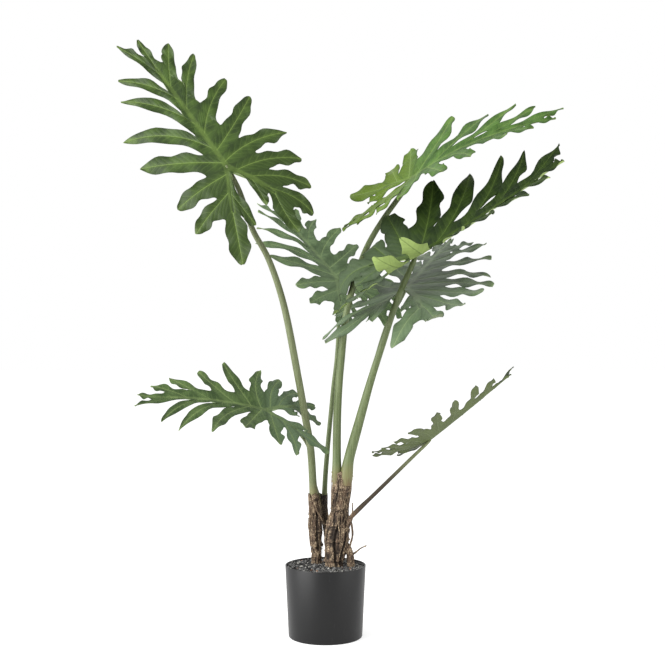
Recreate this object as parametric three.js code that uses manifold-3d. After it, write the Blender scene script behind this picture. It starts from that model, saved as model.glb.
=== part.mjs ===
// A potted split-leaf philodendron: seven deeply lobed leaves on long stalks, which rise
// from brown scarred stems in a black pot filled with gravel.
// Millimetres, +Z up. The origin is the centre of the pot's underside.
import * as THREE from "three";
import { mergeVertices } from "three/addons/utils/BufferGeometryUtils.js";
import Module from "manifold-3d";

const wasm = await Module();
wasm.setup();

// Pot and filling
const POT_HEIGHT = 133;
const POT_TOP_RADIUS = 75;
const POT_FOOT_RADIUS = 68.5;
const POT_WALL = 2.4;
const POT_FLOOR = 4;
const POT_EDGE = 3;
const POT_SIDES = 36;
const FIT_GAP = 0.3;
const SOIL_TOP = 128.5;
const GRAVEL_RELIEF = 1.7;
const GRAVEL_RINGS = 9;
const ROOT_DEPTH = 34;

// Leaf blade
const BLADE_THICKNESS = 1.0;
const FRONT_LENGTH = 340;
const BACK_LENGTH = 200;
const HALF_WIDTH = 140;
const MARGIN_WAVE = 0.13;
const MARGIN_RIPPLE = 3.5;
const MARGIN_WAVE_CYCLES = 2.2;
const MARGIN_RIPPLE_CYCLES = 1.8;
// Shares of a lobe's length, from its root: where the ripple is at full height, and where the
// widened root has faded into the lobe when its notch lies outside or inside the margin.
const RIPPLE_FULL = 0.5;
const OUTER_FADE_END = 0.3;
const INNER_FADE_END = 0.4;
const HEART_START = 0.05;
// A lobe's half width as a share of its widest: at its root, where it is widest, where the tip
// starts, and how hollow a pointed tip is.
const ROOT_WIDTH = 0.84;
const WIDEST_AT = 0.6;
const TIP_START = 0.58;
const TIP_HOLLOW = 1.15;
const HOLE_SIDES = 24;
// Seeds of the random draws. Leaf number n draws from LEAF_SEED + n.
const LEAF_SEED = 100;
const GRAVEL_SEED = 41;
const STEM_SEEDS = { main: 7, left: 11, back: 13 };
const BARK_ROUGHNESS = { main: 0.16, left: 0.16, back: 0.1 };
const STEM_SIDES = { main: 16, left: 12, back: 10 };
const FULL_WAVE_LENGTH = 120;
const WEB_STEPS = 2;
const FREE_STEPS = [0.12, 0.3, 0.52, 0.74, 0.92];

// The blade's outline at full size, as seen from above with the tip up: for each lobe in turn,
// from the tip down the left side and up the right, where its vein leaves the rib, its tip,
// its half width, the notch and the foot of the web between it and the next lobe, how far its
// vein bows, and how pointed it ends.
const LOBES = [
  {
    name: "T", root: [0, 262], tip: [1, 340], half: 9,
    notch: [-6, 297], foot: [-1.6, 256], bow: 0, point: 0.5,
  },
  {
    name: "L1", root: [-1.8, 246], tip: [-42, 354], half: 10,
    notch: [-9, 204], foot: [-2, 214], bow: 0.03, point: 0.9,
  },
  {
    name: "L2", root: [-2, 180], tip: [-78, 292], half: 12,
    notch: [-13, 140], foot: [-2.1, 146], bow: 0.06, point: 0.5,
  },
  {
    name: "L3", root: [-2.2, 112], tip: [-98, 250], half: 14,
    notch: [-17, 88], foot: [-2.3, 78], bow: 0.07, point: 0.8,
  },
  {
    name: "L4", root: [-2.4, 46], tip: [-140, 178], half: 17,
    notch: [-26, 45], foot: [-2.6, 27], bow: 0.09, point: 0.6,
  },
  {
    name: "L5", root: [-2.8, 8], tip: [-144, 104], half: 20,
    notch: [-46, 2], foot: [-5, -6], bow: 0.02, point: 0.5,
  },
  {
    name: "L6", root: [-10, -17], tip: [-128, -16], half: 19,
    notch: [-54, -50], foot: [-19, -34], bow: 0.02, point: 0.2,
  },
  {
    name: "L7", root: [-28, -52], tip: [-126, -84], half: 17,
    notch: [-64, -96], foot: [-36, -74], bow: 0.02, point: 0.3,
  },
  {
    name: "L8", root: [-43, -92], tip: [-82, -190], half: 22,
    notch: [-34, -106], foot: [-37, -86], bow: 0, point: 0.3,
  },
  {
    name: "LI", root: [-25, -58], tip: [-18, -138], half: 12,
    notch: [0, -22], foot: [-1, -12], bow: 0, point: 0.3,
  },
  {
    name: "RI", root: [27, -56], tip: [22, -116], half: 9,
    notch: [38, -98], foot: [40, -84], bow: 0, point: 0.6,
  },
  {
    name: "R9", root: [48, -104], tip: [42, -200], half: 15,
    notch: [64, -150], foot: [51, -100], bow: 0.03, point: 0.3,
  },
  {
    name: "R8", root: [46, -90], tip: [90, -180], half: 14,
    notch: [68, -102], foot: [41, -72], bow: 0.08, point: 0.3,
  },
  {
    name: "R7", root: [32, -50], tip: [118, -130], half: 14,
    notch: [66, -56], foot: [23, -35], bow: 0.08, point: 0.2,
  },
  {
    name: "R6", root: [15, -21], tip: [134, -70], half: 16,
    notch: [64, -10], foot: [6, -7], bow: 0.08, point: 0.2,
  },
  {
    name: "R5", root: [2.8, 8], tip: [140, -8], half: 17,
    notch: [54, 35], foot: [2.6, 22], bow: 0.1, point: 0.7,
  },
  {
    name: "R4", root: [2.5, 38], tip: [124, 104], half: 17,
    notch: [38, 81], foot: [2.4, 60], bow: -0.02, point: 0.3,
  },
  {
    name: "R3", root: [2.3, 84], tip: [106, 166], half: 15,
    notch: [31, 146], foot: [2.2, 116], bow: 0.07, point: 0.05,
  },
  {
    name: "R2", root: [2.1, 150], tip: [80, 246], half: 15,
    notch: [28, 202], foot: [2, 182], bow: 0.06, point: 0.5,
  },
  {
    name: "R1", root: [1.9, 212], tip: [50, 298], half: 14,
    notch: [17, 268], foot: [1.7, 248], bow: 0.02, point: 0.6,
  },
];

// One entry for each leaf. joint is where the stalk meets the blade. heading, pitch and roll
// turn the blade, in degrees. front, back and side bend it down towards its tip, its back lobes
// and its margins, and left and right raise its two halves. web is how far the webs on the left
// of the midrib reach out between the lobes, and broad how broad the lobes are, as shares of the
// outline's own. lifts bend single lobes up.
// stalk is the run of the stalk below the joint, from its root up, and thick is its radius at
// the root, half way and at the joint.
const LEAVES = [
  {
    name: "a", size: 0.91, joint: [-180, -59, 868], heading: 156, pitch: 52, roll: -54,
    front: 0, back: 6, side: 9, left: -11, right: 9, web: 1, broad: 1,
    lifts: {
      T: 6, L1: 3, L2: -5, L3: -4, L4: -11, L5: -6, L6: -11, L7: -3, L8: -8, LI: -8, R1: 5, R2: 5,
      R3: -6, R5: 9, R7: -8, R8: -8, R9: 13,
    },
    stalk: [
      [-20, 20, 236], [-23, 20, 270], [-28, 8, 348], [-39, -8, 416], [-51, -12, 484],
      [-79, -20, 624], [-106, -28, 703], [-133, -38, 753], [-157, -48, 824],
    ],
    thick: [7.2, 6.6, 4.4],
  },
  {
    name: "b", size: 0.79, joint: [20, 146, 675], heading: 129, pitch: 39, roll: -9,
    front: 5, back: 9, side: 10, left: 6, right: 12, web: 1, broad: 1,
    lifts: { T: 2, L2: 13, L3: -8, L4: -5, L5: 3, L8: 6, R2: -9, R3: 19 },
    stalk: [
      [-3, 48, 226], [-1, 49, 284], [4, 54, 348], [10, 66, 411], [15, 82, 463], [21, 98, 512],
      [25, 118, 582], [24, 134, 630],
    ],
    thick: [5, 4.2, 3.4],
  },
  {
    name: "c", size: 0.83, joint: [165, -10, 855], heading: -33, pitch: 29, roll: 32,
    front: 26, back: -4, side: 6, left: 17, right: 5, web: 1.4, broad: 1.2,
    lifts: {
      T: -2, L1: -3, L2: -7, L3: 1, L4: -14, L5: 8, L6: 3, L7: -17, L8: 12, R2: 12, R3: -4, R4: -4,
      R9: -5,
    },
    stalk: [
      [21, -6, 280], [21, -6, 354], [22, -5, 415], [25, -4, 469], [29, -4, 514], [39, -11, 601],
      [58, 8, 672], [79, 31, 728], [107, 27, 776], [139, 9, 820],
    ],
    thick: [8.2, 6.4, 4.6],
  },
  {
    name: "d", size: 0.91, joint: [165, -60, 705], heading: -9, pitch: 29, roll: 18,
    front: -7, back: 10, side: 0, left: 38, right: 9, web: 1.6, broad: 1.3,
    lifts: {
      T: -7, L1: -2, L3: 2, L4: -16, L5: 3, L6: 2, R1: -15, R2: -14, R4: 9, R5: 80, R6: 80, L7: -70,
      L8: -50,
    },
    stalk: [
      [38, -10, 282], [42, -12, 323], [64, -18, 407], [84, -24, 478], [104, -34, 542],
      [132, -54, 628],
    ],
    thick: [10.5, 6.6, 5],
  },
  {
    name: "e", size: 1.16, joint: [151, -12, 649], heading: 71, pitch: 19, roll: 24,
    front: 4, back: 9, side: 8, left: -39, right: 28, web: 1, broad: 1,
    lifts: {
      R2: 9, R3: 1, R4: -22, R5: 7, R6: 24, R7: 30, R8: 46, R9: -35, L4: 60, L5: 54, L6: -3,
      L7: -40, L8: 8,
    },
    stalk: [
      [34, 13, 280], [42, 13, 310], [50, 13, 340], [64, 12, 392], [80, 10, 453], [93, 8, 504],
      [106, 5, 551], [119, 2, 588],
    ],
    thick: [7, 5.6, 3.6],
  },
  {
    name: "g", size: 0.7, joint: [-111, -60, 425], heading: 210, pitch: 15, roll: -32,
    front: 20, back: 18, side: 7, left: -3, right: 16, web: 1, broad: 1,
    lifts: {
      T: 18, R1: -16, R2: -15, R3: -9, R4: 22, R5: 9, R6: 6, R8: 13, L1: 11, L2: -12, L3: -17,
      L4: 10, L5: 32, L7: -28, L8: 6,
    },
    stalk: [
      [-5, 38, 226], [-12, 38, 250], [-22, 38, 286], [-27, 37, 326], [-33, 28, 350], [-48, 0, 376],
      [-74, -32, 398],
    ],
    thick: [3.2, 3.2, 2.8],
  },
  {
    name: "h", size: 0.58, joint: [197, 10, 364], heading: -22, pitch: 38, roll: -8,
    front: -3, back: -36, side: 5, left: 18, right: 14, web: 1, broad: 1,
    lifts: { T: -3, L1: 13, R1: 2, R2: 10, L8: 22 },
    stalk: [
      [46, -14, 222], [62, -12, 238], [92, -8, 266], [130, -2, 302], [166, 4, 336],
    ],
    thick: [4, 3.6, 3],
  },
];

// Stems, as rows of [x, y, z, radius across, radius in depth] from the root up
const STEM_LEFT = [
  [-17, 20, 128, 9.5, 9], [-17, 20, 150, 9.5, 9], [-17, 20, 163, 10, 9.5], [-17, 20, 167, 12, 11],
  [-18, 20, 172, 10.5, 10], [-18, 20, 190, 12, 11], [-19, 20, 212, 12.5, 11.5], [-21, 20, 236, 10.5, 10],
  [-23, 19, 262, 9.6, 9.4],
];
const STEM_BACK = [
  [9, 42, 128, 6, 6], [8, 42, 150, 7, 7], [3, 43, 190, 7.4, 9], [-3, 44, 218, 7.6, 12],
  [-4, 44, 240, 7.6, 12], [-4, 45, 257, 7.6, 11],
];
const STEM_MAIN = [
  [16, -4, 128, 16, 15], [16, -4, 140, 17.5, 16], [19, -4, 158, 20, 18], [21, -4, 178, 22, 19],
  [22, -3, 196, 22, 19], [23, -3, 212, 20.5, 19], [26, -2, 232, 16.5, 18], [28, -1, 250, 16.5, 18],
  [30, 0, 275, 17.5, 18], [31, 0, 307, 18.5, 18],
];

const COLOURS = {
  pot: 0x1b1b1d,
  gravel: 0x3a3936,
  bark: 0x5b4331,
  dark_bark: 0x2b221b,
  stalk: 0x7f9460,
  leaf: 0x3c6a34,
};

// A repeatable stream of numbers from 0 to 1.
function draws(seed) {
  let state = seed;
  return () => {
    state = (state * 1664525 + 1013904223) % 4294967296;
    return state / 4294967296;
  };
}

const radians = THREE.MathUtils.degToRad;
const sinc = (a) => (Math.abs(a) < 1e-6 ? 1 : Math.sin(a) / a);
const mix = (a, b, t) => a + (b - a) * t;
const mixPoint = (a, b, t) => [mix(a[0], b[0], t), mix(a[1], b[1], t)];

function geometryFrom(points, triangles) {
  const geometry = new THREE.BufferGeometry();
  geometry.setAttribute("position", new THREE.Float32BufferAttribute(points.flat(), 3));
  geometry.setIndex(triangles.flat());
  return geometry;
}

function solidFrom(geometry) {
  const bare = geometry.clone();
  bare.deleteAttribute("normal");
  bare.deleteAttribute("uv");
  const merged = mergeVertices(bare, 1e-4);
  return new wasm.Manifold(
    new wasm.Mesh({
      numProp: 3,
      vertProperties: new Float32Array(merged.attributes.position.array),
      triVerts: new Uint32Array(merged.index.array),
    }),
  );
}

function geometryOf(solid) {
  const mesh = solid.getMesh();
  const geometry = new THREE.BufferGeometry();
  geometry.setAttribute("position", new THREE.Float32BufferAttribute(mesh.vertProperties, 3));
  geometry.setIndex(Array.from(mesh.triVerts));
  return geometry;
}

function largestBody(solid) {
  return solid.decompose().reduce((a, b) => (b.volume() > a.volume() ? b : a));
}

function named(name, geometry, colour, roughness) {
  geometry.computeVertexNormals();
  const material = new THREE.MeshStandardMaterial({ color: colour, roughness, metalness: 0 });
  const mesh = new THREE.Mesh(geometry, material);
  mesh.name = name;
  return mesh;
}

// A closed tube through rings of points, with a middle point on each end.
function ringTube(rings, first, last) {
  const sides = rings[0].length;
  const points = rings.flat();
  const triangles = [];
  for (let r = 0; r + 1 < rings.length; r++) {
    for (let s = 0; s < sides; s++) {
      const a = r * sides + s;
      const b = r * sides + ((s + 1) % sides);
      triangles.push([a, b, b + sides], [a, b + sides, a + sides]);
    }
  }
  const low = points.push(first) - 1;
  const high = points.push(last) - 1;
  const top = (rings.length - 1) * sides;
  for (let s = 0; s < sides; s++) {
    const next = (s + 1) % sides;
    triangles.push([low, next, s], [high, top + s, top + next]);
  }
  return geometryFrom(points, triangles);
}

// A scarred stem: level rings with a rough skin, over a smooth plug that sits in the soil.
function stem(rows, sides, rough, seed) {
  const draw = draws(seed);
  const [x, y, z, across, deep] = rows[0];
  const sunk = [SOIL_TOP - ROOT_DEPTH, z].map((level) => [x, y, level, across, deep]);
  const shaped = [...sunk, ...rows.slice(1)];
  const rings = shaped.map(([cx, cy, cz, rx, ry], row) =>
    Array.from({ length: sides }, (_, s) => {
      const turn = (2 * Math.PI * (s + 0.5 * (row % 2))) / sides;
      const swell = row < 2 || row === shaped.length - 1 ? 1 : 1 + rough * (draw() - 0.5);
      return [cx + rx * swell * Math.cos(turn), cy + ry * swell * Math.sin(turn), cz];
    }),
  );
  const end = shaped[shaped.length - 1];
  return ringTube(rings, [x, y, SOIL_TOP - ROOT_DEPTH], [end[0], end[1], end[2] + 1]);
}

// A round tapering tube along a smooth curve. grow widens it evenly.
function taperedTube(points, radii, steps, sides, grow = 0) {
  const places = points.map((p) => new THREE.Vector3(...p));
  const curve = new THREE.CatmullRomCurve3(places, false, "centripetal");
  const frames = curve.computeFrenetFrames(steps, false);
  const centres = curve.getSpacedPoints(steps);
  const rings = centres.map((centre, i) => {
    const t = i / steps;
    const low = mix(radii[0], radii[1], Math.min(1, t * 2));
    const radius = (t < 0.5 ? low : mix(radii[1], radii[2], t * 2 - 1)) + grow;
    return Array.from({ length: sides }, (_, s) => {
      const turn = (2 * Math.PI * s) / sides;
      const p = centre.clone();
      p.addScaledVector(frames.normals[i], radius * Math.cos(turn));
      p.addScaledVector(frames.binormals[i], radius * Math.sin(turn));
      return p.toArray();
    });
  });
  return ringTube(rings, centres[0].toArray(), centres[steps].toArray());
}

// The blade's frame: along the midrib, across to the right, and up from its upper face.
function leafFrame(leaf) {
  const h = radians(leaf.heading);
  const p = radians(leaf.pitch);
  const along = new THREE.Vector3(Math.cos(p) * Math.cos(h), Math.cos(p) * Math.sin(h), Math.sin(p));
  const level = new THREE.Vector3(Math.sin(h), -Math.cos(h), 0);
  const turn = new THREE.Quaternion().setFromAxisAngle(along, radians(leaf.roll));
  const across = level.applyQuaternion(turn);
  return { along, across, up: across.clone().cross(along) };
}

// The bent blade: the place of point (x, y) of the flat outline, raised by rise.
function bentPoint(leaf, frame, x, y, rise) {
  const ahead = y > 0;
  const bend = radians(ahead ? (leaf.front * y) / FRONT_LENGTH : (-leaf.back * y) / BACK_LENGTH);
  const run = y * sinc(bend / 2);
  const drop = -Math.abs(run) * Math.sin(bend / 2);
  const raised = radians(x < 0 ? leaf.left : leaf.right);
  const sag = (radians(leaf.side) * Math.abs(x)) / (2 * HALF_WIDTH);
  const reach = Math.abs(x) * sinc(sag);
  const height = reach * Math.sin(raised - sag) + rise;
  const lean = ahead ? Math.sin(bend) : -Math.sin(bend);
  return new THREE.Vector3(...leaf.joint)
    .addScaledVector(frame.along, leaf.size * (run * Math.cos(bend / 2) + height * lean))
    .addScaledVector(frame.across, leaf.size * Math.sign(x) * reach * Math.cos(raised - sag))
    .addScaledVector(frame.up, leaf.size * (drop + height * Math.cos(bend)));
}

// A lobe's half width at t, from 0 at the notch to 1 at the tip, as a share of its broadest.
function lobeWidth(t, point) {
  const body = mix(ROOT_WIDTH, 1, Math.sin((Math.PI / 2) * Math.min(1, t / WIDEST_AT)));
  const over = Math.min(1, Math.max(0, (t - TIP_START) / (1 - TIP_START)));
  return body * mix(Math.sqrt(1 - over * over), 1 - over ** TIP_HOLLOW, point);
}

// One lobe's vein: a shallow arc that bows towards the leaf's tip. Past its ends it runs on.
function veinOf(lobe) {
  const dx = lobe.tip[0] - lobe.root[0];
  const dy = lobe.tip[1] - lobe.root[1];
  const length = Math.hypot(dx, dy);
  const dir = [dx / length, dy / length];
  const left = [-dir[1], dir[0]];
  const bow = lobe.bow * length * (left[1] >= -0.05 ? 1 : -1);
  const at = (t) => {
    const off = bow * 4 * t * (1 - t) * (t > 0 ? 1 : 0);
    return [
      lobe.root[0] + dx * t + left[0] * off,
      lobe.root[1] + dy * t + left[1] * off,
    ];
  };
  const share = (p) => ((p[0] - lobe.root[0]) * dir[0] + (p[1] - lobe.root[1]) * dir[1]) / length;
  const aside = (p) => {
    const centre = at(share(p));
    return (p[0] - centre[0]) * left[0] + (p[1] - centre[1]) * left[1];
  };
  return { at, left, length, share, aside };
}

// The notch below a lobe. On the left of the midrib it moves out between the two lobes' veins.
function webEnd(leaf, lobe, next) {
  const [x, y] = lobe.notch;
  if (x >= 0 || y <= 0) return lobe.notch;
  const way = new THREE.Vector2();
  for (const { root, tip } of [lobe, next]) {
    way.add(new THREE.Vector2(tip[0] - root[0], tip[1] - root[1]).normalize());
  }
  way.setLength((leaf.web - 1) * Math.hypot(x - lobe.foot[0], y - lobe.foot[1]));
  return [x + way.x, y + way.y];
}

// The blade's middle sheet: its points, its triangles and its outer edges, lobe by lobe.
function bladeSheet(leaf, seed) {
  const draw = draws(seed);
  const frame = leafFrame(leaf);
  const points = [];
  const flat = [];
  const triangles = [];
  const edges = [];
  const add = (x, y, rise = 0) => {
    flat.push(new THREE.Vector2(x, y));
    return points.push(bentPoint(leaf, frame, x, y, rise)) - 1;
  };
  const notches = LOBES.map((lobe, i) => webEnd(leaf, lobe, LOBES[i + 1]));
  const webs = LOBES.map((lobe, i) =>
    Array.from({ length: WEB_STEPS + 1 }, (_, k) => {
      return add(...mixPoint(lobe.foot, notches[i], k / WEB_STEPS));
    }),
  );
  const ribLoop = [];
  LOBES.forEach((lobe, i) => {
    const vein = veinOf(lobe);
    const before = (i + LOBES.length - 1) % LOBES.length;
    const margin = MARGIN_WAVE * Math.min(1, vein.length / FULL_WAVE_LENGTH);
    const halfAt = (t, phase) =>
      leaf.broad * lobe.half * lobeWidth(t, lobe.point) *
      (1 + margin * Math.sin(2 * Math.PI * (MARGIN_WAVE_CYCLES * t + phase)));
    const sides = [notches[before], notches[i]].map((notch, k) => {
      const sign = k ? 1 : -1;
      const phase = draw();
      const excess = sign * vein.aside(notch) - halfAt(0, phase);
      return { start: vein.share(notch), sign, phase, ripple: draw(), excess };
    });
    const start = Math.max(HEART_START, (sides[0].start + sides[1].start) / 2);
    const heart = vein.at(start);
    const rows = [];
    for (let k = 0; k <= WEB_STEPS; k++) {
      const middle = add(...mixPoint(lobe.root, heart, k / WEB_STEPS));
      rows.push([webs[before][k], middle, webs[i][k]]);
    }
    ribLoop.push(rows[0][1], webs[i][0]);
    const lift = radians(leaf.lifts[lobe.name] || 0);
    const raise = (place, t) => {
      const run = [place[0] - heart[0], place[1] - heart[1]];
      const along = run[0] * vein.left[1] - run[1] * vein.left[0];
      const half = (lift * t) / 2;
      const shrink = sinc(half) * Math.cos(half) - 1;
      return {
        x: place[0] + vein.left[1] * along * shrink,
        y: place[1] - vein.left[0] * along * shrink,
        rise: along * sinc(half) * Math.sin(half),
      };
    };
    for (const t of FREE_STEPS) {
      const calm = 1 - Math.max(0, 1 - t / RIPPLE_FULL) ** 2;
      const row = sides.map((side) => {
        const centre = vein.at(mix(side.start, 1, t));
        const quick = Math.max(0, 1 - Math.sqrt(t / OUTER_FADE_END));
        const fade = side.excess > 0 ? quick : Math.max(0, 1 - t / INNER_FADE_END) ** 2;
        const off = side.sign * (halfAt(t, side.phase) + side.excess * fade);
        const bent = raise([centre[0] + vein.left[0] * off, centre[1] + vein.left[1] * off], t);
        const turns = MARGIN_RIPPLE_CYCLES * t + side.ripple;
        const ripple = MARGIN_RIPPLE * calm * Math.sin(2 * Math.PI * turns);
        return add(bent.x, bent.y, bent.rise + ripple);
      });
      const bent = raise(vein.at(mix(start, 1, t)), t);
      rows.push([row[0], add(bent.x, bent.y, bent.rise), row[1]]);
    }
    const end = raise(lobe.tip, 1);
    const tip = add(end.x, end.y, end.rise);
    for (let r = 0; r + 1 < rows.length; r++) {
      for (let c = 0; c < 2; c++) {
        const [a, b] = [rows[r][c], rows[r][c + 1]];
        const [d, e] = [rows[r + 1][c], rows[r + 1][c + 1]];
        triangles.push(c ? [a, d, b] : [a, e, b], c ? [b, d, e] : [a, d, e]);
      }
    }
    const last = rows[rows.length - 1];
    triangles.push([last[0], tip, last[1]], [last[1], tip, last[2]]);
    for (let r = WEB_STEPS; r + 1 < rows.length; r++) {
      edges.push([rows[r][0], rows[r + 1][0]], [rows[r + 1][2], rows[r][2]]);
    }
    edges.push([last[0], tip], [tip, last[2]]);
  });
  const loop = ribLoop.map((i) => flat[i]);
  for (const [a, b, c] of THREE.ShapeUtils.triangulateShape(loop, [])) {
    triangles.push([ribLoop[a], ribLoop[b], ribLoop[c]]);
  }
  return { points, triangles, edges };
}

// The blade as a closed sheet of even thickness, with both faces split alike.
function bladeGeometry(leaf, seed, thickness) {
  const { points, triangles, edges } = bladeSheet(leaf, seed);
  const normals = points.map(() => new THREE.Vector3());
  for (const [a, b, c] of triangles) {
    const ab = points[b].clone().sub(points[a]);
    const ac = points[c].clone().sub(points[a]);
    const n = ab.cross(ac);
    for (const i of [a, b, c]) normals[i].add(n);
  }
  const half = thickness / 2;
  const upper = points.map((p, i) => {
    return p.clone().addScaledVector(normals[i].normalize(), half).toArray();
  });
  const lower = points.map((p, i) => p.clone().addScaledVector(normals[i], -half).toArray());
  const count = points.length;
  const faces = [];
  for (const [a, b, c] of triangles) faces.push([a, b, c], [a + count, c + count, b + count]);
  for (const [a, b] of edges) faces.push([b, a, a + count], [b, a + count, b + count]);
  return geometryFrom([...upper, ...lower], faces);
}

function pot() {
  const inner = (z) => mix(POT_FOOT_RADIUS, POT_TOP_RADIUS, z / POT_HEIGHT) - POT_WALL;
  const profile = [
    [0, 0],
    [POT_FOOT_RADIUS - POT_EDGE, 0],
    [POT_FOOT_RADIUS - 0.8, 0.9],
    [POT_FOOT_RADIUS + 0.1, POT_EDGE],
    [POT_TOP_RADIUS - 0.3, POT_HEIGHT - 4],
    [POT_TOP_RADIUS, POT_HEIGHT - 1],
    [POT_TOP_RADIUS - 0.8, POT_HEIGHT],
    [inner(POT_HEIGHT) + 0.5, POT_HEIGHT],
    [inner(POT_HEIGHT), POT_HEIGHT - 1],
    [inner(POT_FLOOR), POT_FLOOR],
    [0, POT_FLOOR],
  ].map(([r, z]) => new THREE.Vector2(r, z));
  const shell = new THREE.LatheGeometry(profile, POT_SIDES);
  shell.rotateX(Math.PI / 2);
  return named("pot", geometryOf(solidFrom(shell)), COLOURS.pot, 0.45);
}

// The filling: a plug with a lumpy gravel top, and a plain hole for each stem.
function gravel(holes) {
  const draw = draws(GRAVEL_SEED);
  const facet = Math.cos(Math.PI / POT_SIDES);
  const radiusAt = (z) =>
    mix(POT_FOOT_RADIUS, POT_TOP_RADIUS, z / POT_HEIGHT) * facet - POT_WALL - FIT_GAP;
  const floor = POT_FLOOR + FIT_GAP;
  const ring = (radius, z, relief) =>
    Array.from({ length: POT_SIDES }, (_, s) => {
      const turn = (2 * Math.PI * s) / POT_SIDES;
      const level = z + relief * (draw() * 2 - 1);
      return [radius * Math.cos(turn), radius * Math.sin(turn), level];
    });
  const edge = radiusAt(SOIL_TOP);
  const rings = [ring(radiusAt(floor), floor, 0), ring(edge, SOIL_TOP - 2, 0)];
  for (let r = 1; r < GRAVEL_RINGS; r++) {
    rings.push(ring(edge * (1 - r / GRAVEL_RINGS), SOIL_TOP, GRAVEL_RELIEF));
  }
  let solid = solidFrom(ringTube(rings, [0, 0, floor], [0, 0, SOIL_TOP]));
  for (const [x, y, across, deep] of holes) {
    const height = ROOT_DEPTH + 10;
    const hole = new THREE.CylinderGeometry(1, 1, height, HOLE_SIDES);
    hole.rotateX(Math.PI / 2);
    const room = (size) => (size + FIT_GAP) / Math.cos(Math.PI / HOLE_SIDES);
    hole.scale(room(across), room(deep), 1);
    hole.translate(x, y, SOIL_TOP - ROOT_DEPTH - FIT_GAP + height / 2);
    solid = solid.subtract(solidFrom(hole));
  }
  return named("gravel", geometryOf(largestBody(solid)), COLOURS.gravel, 0.9);
}

// The side shoot with its root, its knuckle and its dry rootlets, which grew from the main stem.
function sideShoot() {
  const foot = [47, -8];
  const knuckle = [46, -14, 224];
  const runs = [
    {
      points: [[...foot, SOIL_TOP - ROOT_DEPTH], [...foot, 140], [45, -9, 156], [38, -8, 172]],
      radii: [7, 7, 6],
    },
    { points: [[34, -8, 196], [41, -12, 210], knuckle], radii: [6, 5.5, 5.5] },
    {
      points: [[46, -15, 218], [49, -16, 206], [50, -15, 190], [46, -12, 172], [42, -8, 160]],
      radii: [2, 1.6, 2],
    },
    {
      points: [[46, -8, 150], [56, -12, 158], [66, -14, 166], [76, -15, 171]],
      radii: [2, 1.4, 0.8],
    },
    { points: [[48, -15, 222], [50, -16, 234], [50, -17, 250]], radii: [1.6, 1.1, 0.8] },
  ];
  const pieces = runs.map(({ points, radii }) => solidFrom(taperedTube(points, radii, 6, 7)));
  return { foot, pieces };
}

function leftRootlet() {
  const points = [[-24, 14, 258], [-16, 8, 232], [-6, 10, 214], [-2, 16, 204]];
  return solidFrom(taperedTube(points, [1.8, 1.4, 1], 6, 5));
}

const plant = new THREE.Group();
const stalks = LEAVES.map((leaf) => [...leaf.stalk, leaf.joint]);
const STALK_STEPS = 11;
const STALK_SIDES = 8;

const side = sideShoot();
let mainStem = solidFrom(stem(STEM_MAIN, STEM_SIDES.main, BARK_ROUGHNESS.main, STEM_SEEDS.main));
for (const piece of side.pieces) mainStem = mainStem.add(piece);
let leftStem = solidFrom(stem(STEM_LEFT, STEM_SIDES.left, BARK_ROUGHNESS.left, STEM_SEEDS.left));
leftStem = leftStem.add(leftRootlet());
let backStem = solidFrom(stem(STEM_BACK, STEM_SIDES.back, BARK_ROUGHNESS.back, STEM_SEEDS.back));

// Each stalk sits in a close pocket of the stem that it grew from, and stops short of its blade.
LEAVES.forEach((leaf, i) => {
  const pocket = solidFrom(
    taperedTube(stalks[i], leaf.thick, STALK_STEPS, STALK_SIDES, FIT_GAP * 1.1),
  );
  mainStem = mainStem.subtract(pocket);
  leftStem = leftStem.subtract(pocket);
  backStem = backStem.subtract(pocket);
  const stalk = solidFrom(taperedTube(stalks[i], leaf.thick, STALK_STEPS, STALK_SIDES));
  const room = solidFrom(bladeGeometry(leaf, LEAF_SEED + i, BLADE_THICKNESS + 2 * FIT_GAP));
  const trimmed = largestBody(stalk.subtract(room));
  plant.add(named("stalk_" + leaf.name, geometryOf(trimmed), COLOURS.stalk, 0.5));
  const blade = bladeGeometry(leaf, LEAF_SEED + i, BLADE_THICKNESS);
  plant.add(named("blade_" + leaf.name, blade, COLOURS.leaf, 0.5));
});
plant.add(named("stem_main", geometryOf(largestBody(mainStem)), COLOURS.bark, 0.9));
plant.add(named("stem_left", geometryOf(largestBody(leftStem)), COLOURS.bark, 0.9));
plant.add(named("stem_back", geometryOf(largestBody(backStem)), COLOURS.dark_bark, 0.9));

const holes = [STEM_MAIN, STEM_LEFT, STEM_BACK].map((rows) => {
  const [x, y, , across, deep] = rows[0];
  return [x, y, across, deep];
});
holes.push([...side.foot, 7, 7]);

const object = new THREE.Group();
object.add(pot(), gravel(holes), plant);
export default object;
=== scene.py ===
import math

import bpy
import numpy as np
from mathutils import Matrix, Vector, noise
from mathutils.geometry import tessellate_polygon


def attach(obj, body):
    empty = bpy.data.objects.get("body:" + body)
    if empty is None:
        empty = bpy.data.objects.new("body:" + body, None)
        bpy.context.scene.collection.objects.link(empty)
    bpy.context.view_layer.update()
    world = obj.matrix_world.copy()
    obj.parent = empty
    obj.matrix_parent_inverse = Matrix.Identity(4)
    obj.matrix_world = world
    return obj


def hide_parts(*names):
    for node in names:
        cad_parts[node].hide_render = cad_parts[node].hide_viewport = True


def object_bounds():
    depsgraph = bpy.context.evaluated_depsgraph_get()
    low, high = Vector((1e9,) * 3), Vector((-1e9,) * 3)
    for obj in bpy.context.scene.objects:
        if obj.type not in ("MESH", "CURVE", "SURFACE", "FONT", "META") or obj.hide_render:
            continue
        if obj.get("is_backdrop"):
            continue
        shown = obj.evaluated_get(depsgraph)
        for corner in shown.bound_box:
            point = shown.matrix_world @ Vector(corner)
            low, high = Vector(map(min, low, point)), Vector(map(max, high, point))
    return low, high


MM = 0.001

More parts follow.
